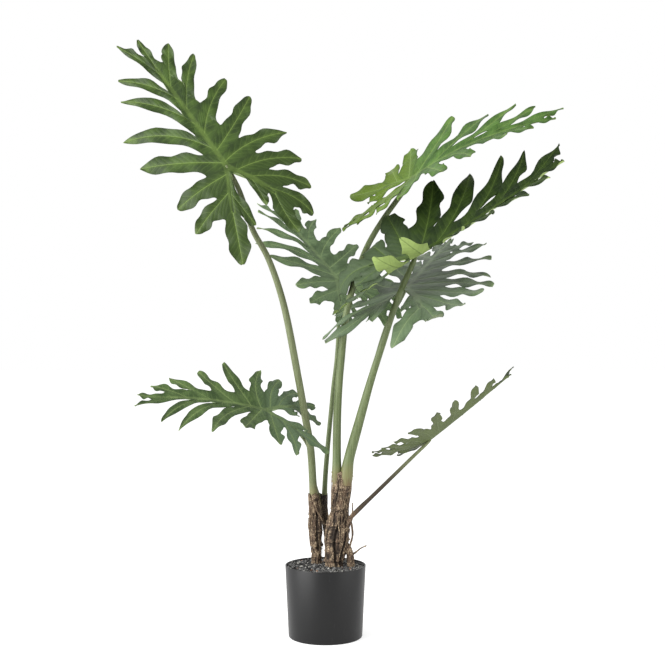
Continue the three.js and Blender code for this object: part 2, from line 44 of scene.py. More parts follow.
# Pot and gravel, in millimetres
POT_HEIGHT = 133
POT_TOP_RADIUS = 75
POT_FOOT_RADIUS = 68.5
POT_WALL = 2.4
POT_FLOOR = 4
POT_SIDES = 128
GRAVEL_TOP = 128.5
GRANULES = 2300

# Leaf blade, in millimetres. FREE_ROWS and SHARES place its points along and across a lobe.
BLADE_THICKNESS = 1.0
FRONT_LENGTH = 340
BACK_LENGTH = 200
HALF_WIDTH = 140
MARGIN_WAVE = 0.13
MARGIN_RIPPLE = 3.5
MARGIN_WAVE_CYCLES = 2.2
MARGIN_RIPPLE_CYCLES = 1.8
FULL_WAVE_LENGTH = 120
WEB_CROWN = 1.6
VEIN_DEPTH = 0.9
VEIN_WIDTH = 2.5
VEIN_RISE = 8
VEIN_FADE = 0.7
RIB_WIDTH = 2.4
RIB_TAPER = 0.006
LEAF_SEED = 100
WEB_ROWS = 6
SHARES = [0, 0.08, 0.2, 0.36, 0.54, 0.72, 0.88, 1]
FREE_ROWS = [
    0.006, 0.02, 0.045, 0.08, 0.13, 0.19, 0.26, 0.34, 0.42, 0.5, 0.57,
    0.64, 0.7, 0.76, 0.82, 0.87, 0.91, 0.945, 0.97, 0.985, 0.995,
]

# Shares of a lobe's length from its root: where its two halves part, where the ripple is full,
# and where a root wider or narrower than the lobe has blended into it.
HEART_START = 0.05
RIPPLE_FULL = 0.5
OUTER_FADE_END = 0.3
INNER_FADE_END = 0.4

# A lobe's half width as a share of its broadest: at its root, where it is broadest, where its
# tip starts, and how hollow a pointed tip is.
ROOT_WIDTH = 0.84
WIDEST_AT = 0.6
TIP_START = 0.58
TIP_HOLLOW = 1.15

# The blade's lobes from the tip down the left side and up the right: where the vein leaves the
# rib, its tip, the half width, the notch and the foot of the web below it, how far the vein
# bows, and how pointed the lobe ends.
LOBES = [
    ("T", (0, 262), (1, 340), 9, (-6, 297), (-1.6, 256), 0, 0.5),
    ("L1", (-1.8, 246), (-42, 354), 10, (-9, 204), (-2, 214), 0.03, 0.9),
    ("L2", (-2, 180), (-78, 292), 12, (-13, 140), (-2.1, 146), 0.06, 0.5),
    ("L3", (-2.2, 112), (-98, 250), 14, (-17, 88), (-2.3, 78), 0.07, 0.8),
    ("L4", (-2.4, 46), (-140, 178), 17, (-26, 45), (-2.6, 27), 0.09, 0.6),
    ("L5", (-2.8, 8), (-144, 104), 20, (-46, 2), (-5, -6), 0.02, 0.5),
    ("L6", (-10, -17), (-128, -16), 19, (-54, -50), (-19, -34), 0.02, 0.2),
    ("L7", (-28, -52), (-126, -84), 17, (-64, -96), (-36, -74), 0.02, 0.3),
    ("L8", (-43, -92), (-82, -190), 22, (-34, -106), (-37, -86), 0, 0.3),
    ("LI", (-25, -58), (-18, -138), 12, (0, -22), (-1, -12), 0, 0.3),
    ("RI", (27, -56), (22, -116), 9, (38, -98), (40, -84), 0, 0.6),
    ("R9", (48, -104), (42, -200), 15, (64, -150), (51, -100), 0.03, 0.3),
    ("R8", (46, -90), (90, -180), 14, (68, -102), (41, -72), 0.08, 0.3),
    ("R7", (32, -50), (118, -130), 14, (66, -56), (23, -35), 0.08, 0.2),
    ("R6", (15, -21), (134, -70), 16, (64, -10), (6, -7), 0.08, 0.2),
    ("R5", (2.8, 8), (140, -8), 17, (54, 35), (2.6, 22), 0.1, 0.7),
    ("R4", (2.5, 38), (124, 104), 17, (38, 81), (2.4, 60), -0.02, 0.3),
    ("R3", (2.3, 84), (106, 166), 15, (31, 146), (2.2, 116), 0.07, 0.05),
    ("R2", (2.1, 150), (80, 246), 15, (28, 202), (2, 182), 0.06, 0.5),
    ("R1", (1.9, 212), (50, 298), 14, (17, 268), (1.7, 248), 0.02, 0.6),
]

# The midrib and the two ribs of the back lobes
RIB_LINES = [
    [(0, 262), (0, 0)],
    [(0, 0), (-9, -22), (-27, -58), (-41, -91)],
    [(0, 0), (9, -20), (30, -54), (49, -102)],
]

# Each leaf: its size and where the stalk meets the blade. heading, pitch and roll turn it, front,
# back and side bend it down, and left and right raise its halves, in degrees. web and broad
# widen the left webs and the lobes, lifts bend single lobes up, and stalk and thick are the
# stalk's run and its radii at the root, half way and at the joint.
LEAVES = [
    dict(
        name="a", size=0.91, joint=(-180, -59, 868), heading=156, pitch=52, roll=-54,
        front=0, back=6, side=9, left=-11, right=9, web=1, broad=1,
        lifts=dict(
            T=6, L1=3, L2=-5, L3=-4, L4=-11, L5=-6, L6=-11, L7=-3, L8=-8, LI=-8, R1=5, R2=5, R3=-6,
            R5=9, R7=-8, R8=-8, R9=13,
        ),
        stalk=[
            (-20, 20, 236), (-23, 20, 270), (-28, 8, 348), (-39, -8, 416), (-51, -12, 484),
            (-79, -20, 624), (-106, -28, 703), (-133, -38, 753), (-157, -48, 824),
        ],
        thick=(7.2, 6.6, 4.4),
    ),
    dict(
        name="b", size=0.79, joint=(20, 146, 675), heading=129, pitch=39, roll=-9,
        front=5, back=9, side=10, left=6, right=12, web=1, broad=1,
        lifts=dict(T=2, L2=13, L3=-8, L4=-5, L5=3, L8=6, R2=-9, R3=19),
        stalk=[
            (-3, 48, 226), (-1, 49, 284), (4, 54, 348), (10, 66, 411), (15, 82, 463), (21, 98, 512),
            (25, 118, 582), (24, 134, 630),
        ],
        thick=(5, 4.2, 3.4),
    ),
    dict(
        name="c", size=0.83, joint=(165, -10, 855), heading=-33, pitch=29, roll=32,
        front=26, back=-4, side=6, left=17, right=5, web=1.4, broad=1.2,
        lifts=dict(
            T=-2, L1=-3, L2=-7, L3=1, L4=-14, L5=8, L6=3, L7=-17, L8=12, R2=12, R3=-4, R4=-4, R9=-5,
        ),
        stalk=[
            (21, -6, 280), (21, -6, 354), (22, -5, 415), (25, -4, 469), (29, -4, 514),
            (39, -11, 601), (58, 8, 672), (79, 31, 728), (107, 27, 776), (139, 9, 820),
        ],
        thick=(8.2, 6.4, 4.6),
    ),
    dict(
        name="d", size=0.91, joint=(165, -60, 705), heading=-9, pitch=29, roll=18,
        front=-7, back=10, side=0, left=38, right=9, web=1.6, broad=1.3,
        lifts=dict(
            T=-7, L1=-2, L3=2, L4=-16, L5=3, L6=2, R1=-15, R2=-14, R4=9, R5=80, R6=80, L7=-70,
            L8=-50,
        ),
        stalk=[
            (38, -10, 282), (42, -12, 323), (64, -18, 407), (84, -24, 478), (104, -34, 542),
            (132, -54, 628),
        ],
        thick=(10.5, 6.6, 5),
    ),
    dict(
        name="e", size=1.16, joint=(151, -12, 649), heading=71, pitch=19, roll=24,
        front=4, back=9, side=8, left=-39, right=28, web=1, broad=1,
        lifts=dict(
            R2=9, R3=1, R4=-22, R5=7, R6=24, R7=30, R8=46, R9=-35, L4=60, L5=54, L6=-3, L7=-40,
            L8=8,
        ),
        stalk=[
            (34, 13, 280), (42, 13, 310), (50, 13, 340), (64, 12, 392), (80, 10, 453), (93, 8, 504),
            (106, 5, 551), (119, 2, 588),
        ],
        thick=(7, 5.6, 3.6),
    ),
    dict(
        name="g", size=0.7, joint=(-111, -60, 425), heading=210, pitch=15, roll=-32,
        front=20, back=18, side=7, left=-3, right=16, web=1, broad=1,
        lifts=dict(
            T=18, R1=-16, R2=-15, R3=-9, R4=22, R5=9, R6=6, R8=13, L1=11, L2=-12, L3=-17, L4=10,
            L5=32, L7=-28, L8=6,
        ),
        stalk=[
            (-5, 38, 226), (-12, 38, 250), (-22, 38, 286), (-27, 37, 326), (-33, 28, 350),
            (-48, 0, 376), (-74, -32, 398),
        ],
        thick=(3.2, 3.2, 2.8),
    ),
    dict(
        name="h", size=0.58, joint=(197, 10, 364), heading=-22, pitch=38, roll=-8,
        front=-3, back=-36, side=5, left=18, right=14, web=1, broad=1,
        lifts=dict(T=-3, L1=13, R1=2, R2=10, L8=22),
        stalk=[
            (46, -14, 222), (62, -12, 238), (92, -8, 266), (130, -2, 302), (166, 4, 336),
        ],
        thick=(4, 3.6, 3),
    ),
]

# Stems from the root up: centre, radius across and radius in depth
STEM_LEFT = [
    (-17, 20, 128, 9.5, 9), (-17, 20, 150, 9.5, 9), (-17, 20, 163, 10, 9.5), (-17, 20, 167, 12, 11),
    (-18, 20, 172, 10.5, 10), (-18, 20, 190, 12, 11), (-19, 20, 212, 12.5, 11.5),
    (-21, 20, 236, 10.5, 10), (-23, 19, 262, 9.6, 9.4),
]
STEM_BACK = [
    (9, 42, 128, 6, 6), (8, 42, 150, 7, 7), (3, 43, 190, 7.4, 9), (-3, 44, 218, 7.6, 12),
    (-4, 44, 240, 7.6, 12), (-4, 45, 257, 7.6, 11),
]
STEM_MAIN = [
    (16, -4, 128, 16, 15), (16, -4, 140, 17.5, 16), (19, -4, 158, 20, 18), (21, -4, 178, 22, 19),
    (22, -3, 196, 22, 19), (23, -3, 212, 20.5, 19), (26, -2, 232, 16.5, 18), (28, -1, 250, 16.5, 18),
    (30, 0, 275, 17.5, 18), (31, 0, 307, 18.5, 18),
]

# Stalks, in millimetres: the taper into the midrib and the swelling of the sheath at the foot
STALK_RINGS = 110
STALK_SIDES = 24
STALK_END = ((0, 4, 16), (0.45, 0.75, 1))
SHEATH_SWELL = 0.14
SHEATH_MIDDLE = 24
SHEATH_REACH = 16

# Bark, in millimetres. Each layer of its relief is how often it changes round the stem, how
# often along it, and its height.
BARK_LAYERS = [(3.2, 0.022, 1.3), (9, 0.05, 0.8), (2, 0.11, 1.5)]
BARK_STEP = 1.3
STEM_SIDES = 84
STEM_SUNK = 8
STEM_FRAY = 9
FRAY_REACH = 26
SCAR_WIDTH = 1.8
SCAR_SHADOW = 3.2
SHADOW_WIDTH = 1.4
GROOVE_WIDTH = 2.1
GROOVE_FADE = 12
GROOVE_SWAY = 0.14
GROOVE_WAVE = 13
ROOT_SIDES = 28
ROOT_KNOTS = 6
SHOOT_FOOT = (47, -8, 5.5, 5.5)

# Hair roots
HAIR_SEED = 77
HAIR_POINTS = 7
HAIR_RINGS = 14
HAIR_SIDES = 6
HAIR_COUNTS = [(STEM_MAIN, 46), (STEM_LEFT, 22), (STEM_BACK, 14)]

# Granules, in millimetres
GRANULE_SEED = 5
GRANULE_SIZE = 1.6
GRANULE_SPREAD = 1.3
GRAVEL_RADIUS = 71.2
HEAP_HEIGHT = 1.2
STEM_OVERLAP = 1.5

# Pot edges, in millimetres, and how near two heights count as the same, in metres
POT_FOOT_ROUND = 2.6
POT_RIM_ROUND = 0.8
SAME_HEIGHT = 1e-5

# The photo's view and the studio, in metres and watts
CAMERA_PLACE = (0.013, -2.17, 0.565)
CAMERA_LENS = 63.07
SENSOR_WIDTH = 36
KEY_POWER = 125
SIDE_POWER = 32
FLOOR_SIZE = 30
FLOOR_GLOW = 0.5

# Leaf looks: the spacing of the side veins in millimetres, how they slant back from the main
# vein, and where the back lobes' tone (a painted grey sheen on leaf d) starts and ends along the midrib.
PLEAT_SPACING = 14
PLEAT_SLANT = 1.15
BACK_TONE = (-40, 70)
LEAF_ROUGHNESS = 0.4

# The random draws are a plain linear congruential generator, as in the part's source.
DRAW_FACTOR = 1664525
DRAW_STEP = 1013904223
DRAW_RANGE = 4294967296


def draws(seed):
    """A repeatable stream of numbers from 0 to 1."""
    state = seed
    while True:
        state = (state * DRAW_FACTOR + DRAW_STEP) % DRAW_RANGE
        yield state / DRAW_RANGE


def mix(a, b, t):
    return a + (b - a) * t


class Tone:
    """A value inside a finish. The usual signs work it out with Math nodes."""

    def __init__(self, finish, socket):
        self.finish = finish
        self.socket = socket

    def maths(self, operation, *others):
        terms = dict(enumerate((self, *others)))
        return self.finish.node("ShaderNodeMath", {"operation": operation}, terms)

    def __add__(self, other):
        return self.maths("ADD", other)

    def __sub__(self, other):
        return self.maths("SUBTRACT", other)

    def __mul__(self, other):
        return self.maths("MULTIPLY", other)

    def __truediv__(self, other):
        return self.maths("DIVIDE", other)

    def __pow__(self, other):
        return self.maths("POWER", other)

    def __rsub__(self, other):
        return self * -1 + other

    def __abs__(self):
        return self.maths("ABSOLUTE")

    __radd__ = __add__
    __rmul__ = __mul__

    def fraction(self):
        return self.maths("FRACT")

    def rise(self, low, high):
        """0 below low, 1 above high, with a smooth rise between them."""
        settings = {"interpolation_type": "SMOOTHSTEP"}
        return self.finish.node("ShaderNodeMapRange", settings, {0: self, 1: low, 2: high})


class Finish:
    """One material, built from nodes on a single shader."""

    def __init__(self, name, **constants):
        self.material = bpy.data.materials.new(name)
        self.material.use_nodes = True
        self.tree = self.material.node_tree
        self.shader = self.tree.nodes["Principled BSDF"]
        for socket, value in constants.items():
            self.shader.inputs[socket.replace("_", " ")].default_value = value

    def node(self, kind, settings=None, inputs=None, output=0):
        made = self.tree.nodes.new(kind)
        for key, value in (settings or {}).items():
            setattr(made, key, value)
        for key, value in (inputs or {}).items():
            self.feed(made.inputs[key], value)
        return Tone(self, made.outputs[output])

    def feed(self, socket, value):
        if isinstance(value, Tone):
            self.tree.links.new(value.socket, socket)
        elif socket.type == "RGBA":
            socket.default_value = (*value, 1)
        else:
            socket.default_value = value

    def blend(self, factor, low, high):
        """The colour low where factor is 0 and high where it is 1."""
        settings = {"data_type": "RGBA"}
        return self.node("ShaderNodeMix", settings, {0: factor, 6: low, 7: high}, 2)

    def place(self, stretch=(1, 1, 1)):
        """Object coordinates in millimetres, squeezed along each axis by stretch."""
        where = self.node("ShaderNodeTexCoord", output=3)
        scale = tuple(1000 * s for s in stretch)
        return self.node("ShaderNodeVectorMath", {"operation": "MULTIPLY"}, {0: where, 1: scale})

    def grain(self, place, size, detail=3, rough=0.5):
        """Soft noise with features about size across."""
        inputs = {"Vector": place, "Scale": 1 / size, "Detail": detail, "Roughness": rough}
        return self.node("ShaderNodeTexNoise", None, inputs)

    def pair(self, name):
        """The two values of the piece's own map."""
        both = self.node("ShaderNodeUVMap", {"uv_map": name})
        first = self.node("ShaderNodeSeparateXYZ", None, {0: both})
        return first, Tone(self, first.socket.node.outputs[1])

    def measure(self, name):
        """A number stored on the piece's points."""
        return self.node("ShaderNodeAttribute", {"attribute_name": name}, output=2)

    def apply(self, colour, roughness=None, relief=None, depth=0.5):
        """Sets the colour, the roughness and a relief of the given depth in millimetres."""
        self.feed(self.shader.inputs["Base Color"], colour)
        if roughness is not None:
            self.feed(self.shader.inputs["Roughness"], roughness)
        if relief is not None:
            inputs = {"Height": relief, "Distance": depth * MM}
            bump = self.node("ShaderNodeBump", None, inputs)
            self.feed(self.shader.inputs["Normal"], bump)
        return self.material


def leaf_upper(name, face, shade, vein, back):
    """The leaf's upper face: mottled green, pale veins, painted shade in the midrib crease and darker
    margins.
    """
    finish = Finish(name, Specular_IOR_Level=0.17)
    aside, along = finish.pair("lobe")
    share, reach = finish.pair("edge")
    mottle = finish.grain(finish.place(), 24, 4)
    fine = finish.grain(finish.place(), 3.5, 2)
    colour = finish.blend(mottle.rise(0.36, 0.64), shade, face)
    # The back lobes blend to the back tone; on leaf d that tone is a painted grey sheen
    behind = 1 - (finish.measure("ahead") + mottle * 50).rise(*BACK_TONE)
    colour = finish.blend(behind, colour, back)
    pleat = ((along - abs(aside) * PLEAT_SLANT) / PLEAT_SPACING + mottle * 0.8).fraction()
    ridge = abs(pleat - 0.5) * 2
    side_vein = ridge.rise(0.7, 1) * (1 - share ** 3) * 0.16
    width = 0.75 - reach * 0.45
    main_vein = 1 - (abs(aside) - width).rise(-0.2, 0.8)
    flank = (1 - abs(aside).rise(1, 7)) * 0.14
    rib = finish.measure("rib")
    shaded_crease = 1 - rib.rise(-0.5, 0.6)
    pale_flank = (1 - rib.rise(1, 5)) * 0.25
    tip = reach.rise(0.7, 1.05) * mottle.rise(0.4, 0.65) * 0.25
    # The dark margin tone, also used as the painted shadow colour in the midrib crease
    dark_margin_and_crease_shade = tuple(c * 0.72 for c in shade)
    colour = finish.blend((share ** 5) * 0.5, colour, dark_margin_and_crease_shade)
    colour = finish.blend(tip, colour, vein)
    colour = finish.blend(flank + side_vein + pale_flank, colour, vein)
    colour = finish.blend(main_vein * 0.6, colour, vein)
    # Painted shadow: the midrib crease is darkened toward the dark margin tone
    colour = finish.blend(shaded_crease * 0.8, colour, dark_margin_and_crease_shade)
    roughness = LEAF_ROUGHNESS + fine * 0.12 + share * 0.06
    height = fine * 0.2 + mottle * 1.8 - ridge * 0.3 - main_vein * 0.3 - shaded_crease * 0.5
    return finish.apply(colour, roughness, height, 0.6)


def leaf_under(name, face, vein, painted_left_shade):
    """The leaf's paler underside with standing veins. Its left half can take a darker tone as painted
    shade.
    """
    finish = Finish(name, Specular_IOR_Level=0.3)
    aside, along = finish.pair("lobe")
    share, reach = finish.pair("edge")
    mottle = finish.grain(finish.place(), 22, 4)
    pleat = ((along - abs(aside) * PLEAT_SLANT) / PLEAT_SPACING + mottle * 0.8).fraction()
    ridge = abs(pleat - 0.5) * 2
    main_vein = 1 - (abs(aside) - (1.1 - reach * 0.7)).rise(-0.2, 0.9)
    rib = 1 - finish.measure("rib").rise(-0.6, 0.6)
    veins = main_vein.maths("MAXIMUM", rib)
    # Painted shade: the left half of the underside blends to a darker tone
    half = finish.measure("across").rise(-12, 0)
    colour = finish.blend(mottle.rise(0.3, 0.7), tuple(c * 0.82 for c in face), face)
    colour = finish.blend(half, painted_left_shade, colour)
    colour = finish.blend(ridge.rise(0.75, 1) * 0.2, colour, vein)
    colour = finish.blend(veins * 0.6, colour, vein)
    return finish.apply(colour, 0.55 + mottle * 0.1, ridge * 0.4 + veins, 0.4)


def stalk_finish(name, green, pale, foot_colour, foot_reach, foot_share):
    """Smooth grey-olive stalk with faint lengthwise streaks, browner towards its foot."""
    finish = Finish(name, Specular_IOR_Level=0.25)
    _, along = finish.pair("run")
    streak = finish.grain(finish.place((1, 1, 0.04)), 2.2, 3)
    cloud = finish.grain(finish.place(), 38, 3)
    colour = finish.blend(streak.rise(0.35, 0.7) * 0.7 + cloud * 0.3, green, pale)
    foot = 1 - (along + cloud * 30 - 15).rise(foot_reach * 0.4, foot_reach)
    colour = finish.blend(foot * foot_share, colour, foot_colour)
    ring = (1 - (along + streak * 60).rise(24, 56)) * 0.8
    colour = finish.blend(ring, colour, (0.1, 0.06, 0.03))
    return finish.apply(colour, 0.42 + streak * 0.16, streak * 0.5 + cloud * 0.3, 0.4)


def bark_finish(name, brown, dark, pale):
    """Fibrous brown bark with painted shade in its cracks and grooves, pale specks and nodules."""
    finish = Finish(name, Specular_IOR_Level=0.2)
    fibre = finish.grain(finish.place((1, 1, 0.25)), 2.2, 5, 0.62)
    lump = finish.grain(finish.place(), 13, 3)
    speck = finish.grain(finish.place((1, 1, 0.8)), 1.9, 2)
    colour = finish.blend(fibre.rise(0.36, 0.62), dark, brown)
    colour = finish.blend(lump.rise(0.52, 0.72) * 0.2, colour, pale)
    colour = finish.blend(speck.rise(0.56, 0.64) * (0.35 + lump.rise(0.4, 0.6) * 0.65), colour, pale)
    colour = finish.blend(finish.measure("pale") * 0.45, colour, pale)
    # Painted shade: the colour darkens where the relief sinks, in cracks, grooves and under scars
    crack_shade = 1 - finish.measure("relief").rise(-1.6, 0)
    colour = finish.blend(crack_shade * 0.85, colour, tuple(c * 0.3 for c in dark))
    return finish.apply(colour, 0.85 - speck * 0.1, fibre + speck * 0.5 + lump * 0.5, 1.6)


def gravel_finish(name, measured):
    """Grey-black mineral granules, a few of them pale or brown."""
    finish = Finish(name, Roughness=0.8, Specular_IOR_Level=0.35)
    grit = finish.grain(finish.place(), 0.9, 3)
    cluster = finish.grain(finish.place(), 3.4, 2)
    tone = finish.measure("tone") if measured else cluster
    dust = grit * 0.5 + tone
    colour = finish.blend(dust.rise(0.5, 1.2), (0.003, 0.003, 0.003), (0.15, 0.148, 0.144))
    colour = finish.blend(tone.rise(0.9, 0.94), colour, (0.34, 0.33, 0.3))
    if measured:
        colour = finish.blend(tone.rise(0.985, 0.987), colour, (0.17, 0.08, 0.04))
    return finish.apply(colour, 0.7 + grit * 0.25, grit + cluster, 0.7)


def pot_finish():
    """Black moulded plastic with a satin sheen and a faint orange-peel skin."""
    finish = Finish("pot_plastic", Specular_IOR_Level=0.27)
    cloud = finish.grain(finish.place((1, 1, 0.3)), 30, 3)
    skin = finish.grain(finish.place(), 1.1, 2)
    scuff = finish.grain(finish.place((1, 1, 0.15)), 3, 4).rise(0.66, 0.8)
    colour = finish.blend(cloud, (0.002, 0.002, 0.0022), (0.004, 0.004, 0.0042))
    colour = finish.blend(scuff * 0.2, colour, (0.05, 0.05, 0.05))
    return finish.apply(colour, 0.36 + cloud * 0.06 + scuff * 0.1, skin, 0.05)


def floor_finish():
    """A plain white floor that glows a little, so that it stays pale in the plant's shade."""
    finish = Finish("floor_white", Roughness=0.9, Specular_IOR_Level=0.0)
    tint = finish.grain(finish.place(), 400, 1)
    colour = finish.blend(tint, (0.6, 0.6, 0.6), (0.62, 0.62, 0.62))
    finish.shader.inputs["Emission Color"].default_value = (1, 1, 1, 1)
    finish.shader.inputs["Emission Strength"].default_value = FLOOR_GLOW
    return finish.apply(colour)


def new_piece(name, points, faces, materials):
    """A mesh object from points in millimetres, alone selected and active."""
    mesh = bpy.data.meshes.new(name)
    mesh.from_pydata(np.asarray(points, float) * MM, [], faces)
    piece = bpy.data.objects.new(name, mesh)
    bpy.context.scene.collection.objects.link(piece)
    for material in materials:
        mesh.materials.append(material)
    pick(piece)
    return piece


def pick(piece):
    bpy.ops.object.select_all(action="DESELECT")
    piece.select_set(True)
    bpy.context.view_layer.objects.active = piece


def smooth(piece, degrees=40):
    pick(piece)
    bpy.ops.object.shade_smooth_by_angle(angle=math.radians(degrees))


def store(piece, name, values):
    """Keeps one number for each point of the piece."""
    held = piece.data.attributes.new(name, "FLOAT", "POINT")
    held.data.foreach_set("value", np.asarray(values, np.float32))


def store_map(piece, name, values):
    """Keeps two numbers for each corner, from the values of the corner's point."""
    corners = np.zeros(len(piece.data.loops), np.int32)
    piece.data.loops.foreach_get("vertex_index", corners)
    held = piece.data.uv_layers.new(name=name)
    held.data.foreach_set("uv", np.asarray(values, np.float32)[corners].ravel())


def close_seams():
    """Joins the active piece's points that lie on one another."""
    bpy.ops.object.mode_set(mode="EDIT")
    bpy.ops.mesh.select_all(action="SELECT")
    bpy.ops.mesh.remove_doubles(threshold=0.00001)
    bpy.ops.object.mode_set(mode="OBJECT")


def leaf_frame(leaf):
    """Along the midrib, across to the right, and up from the upper face."""
    h = math.radians(leaf["heading"])
    p = math.radians(leaf["pitch"])
    along = Vector((math.cos(p) * math.cos(h), math.cos(p) * math.sin(h), math.sin(p)))
    across = Vector((math.sin(h), -math.cos(h), 0))
    across.rotate(Matrix.Rotation(math.radians(leaf["roll"]), 3, along))
    return np.array(along), np.array(across), np.array(across.cross(along))


def sinc(a):
    a = np.where(np.abs(a) < 1e-6, 1e-6, a)
    return np.sin(a) / a


def bend_blade(leaf, flat, rise):
    """The bent blade: each flat point, raised by rise, in its place on the plant."""
    along, across, up = leaf_frame(leaf)
    x, y = flat[:, 0], flat[:, 1]
    ahead = y > 0
    turn = np.where(ahead, leaf["front"] * y / FRONT_LENGTH, -leaf["back"] * y / BACK_LENGTH)
    bend = np.radians(turn)
    run = y * sinc(bend / 2)
    drop = -np.abs(run) * np.sin(bend / 2)
    raised = np.radians(np.where(x < 0, leaf["left"], leaf["right"]))
    sag = math.radians(leaf["side"]) * np.abs(x) / (2 * HALF_WIDTH)
    reach = np.abs(x) * sinc(sag)
    height = reach * np.sin(raised - sag) + rise
    lean = np.where(ahead, np.sin(bend), -np.sin(bend))
    a = run * np.cos(bend / 2) + height * lean
    b = np.sign(x) * reach * np.cos(raised - sag)
    c = drop + height * np.cos(bend)
    moved = np.outer(a, along) + np.outer(b, across) + np.outer(c, up)
    return np.array(leaf["joint"]) + leaf["size"] * moved


class Vein:
    """A lobe's vein: a shallow arc towards the leaf's tip, measured from the rib."""

    def __init__(self, root, tip, bow):
        self.root = np.array(root, float)
        run = np.array(tip, float) - self.root
        self.length = math.hypot(*run)
        self.run = run / self.length
        self.left = np.array((-self.run[1], self.run[0]))
        self.bow = bow * self.length * (1 if self.left[1] >= -0.05 else -1)

    def at(self, t):
        off = self.bow * 4 * t * (1 - t) * (t > 0)
        return self.root + self.run * self.length * t + self.left * off

    def share(self, point):
        return float((np.array(point) - self.root) @ self.run) / self.length

    def aside(self, point):
        return float((np.array(point) - self.at(self.share(point))) @ self.left)


def lobe_width(t, point):
    """A lobe's half width at t, from 0 at the notch to 1 at the tip, as a share of its broadest."""
    body = mix(ROOT_WIDTH, 1, math.sin(math.pi / 2 * min(1, t / WIDEST_AT)))
    over = min(1, max(0, (t - TIP_START) / (1 - TIP_START)))
    return body * mix(math.sqrt(1 - over * over), 1 - over**TIP_HOLLOW, point)


def rib_distance(flat):
    """How far each point lies outside the midrib or one of the two back ribs."""
    best = np.full(len(flat), 99.0)
    for line in RIB_LINES:
        for a, b in zip(line, line[1:]):
            a, b = np.array(a, float), np.array(b, float)
            t = np.clip((flat - a) @ (b - a) / ((b - a) @ (b - a)), 0, 1)
            off = np.linalg.norm(flat - (a + np.outer(t, b - a)), axis=1)
            reach = np.abs((a + np.outer(t, b - a))[:, 1])
            best = np.minimum(best, off - (RIB_WIDTH - reach * RIB_TAPER))
    return best


def web_end(leaf, lobe, after):
    """The notch below a lobe. On the left it moves out between the two lobes' veins."""
    notch = np.array(lobe[4], float)
    if notch[0] >= 0 or notch[1] <= 0:
        return notch
    way = sum(Vein(piece[1], piece[2], 0).run for piece in (lobe, after))
    reach = (leaf["web"] - 1) * math.dist(notch, lobe[5])
    return notch + way / math.hypot(*way) * reach


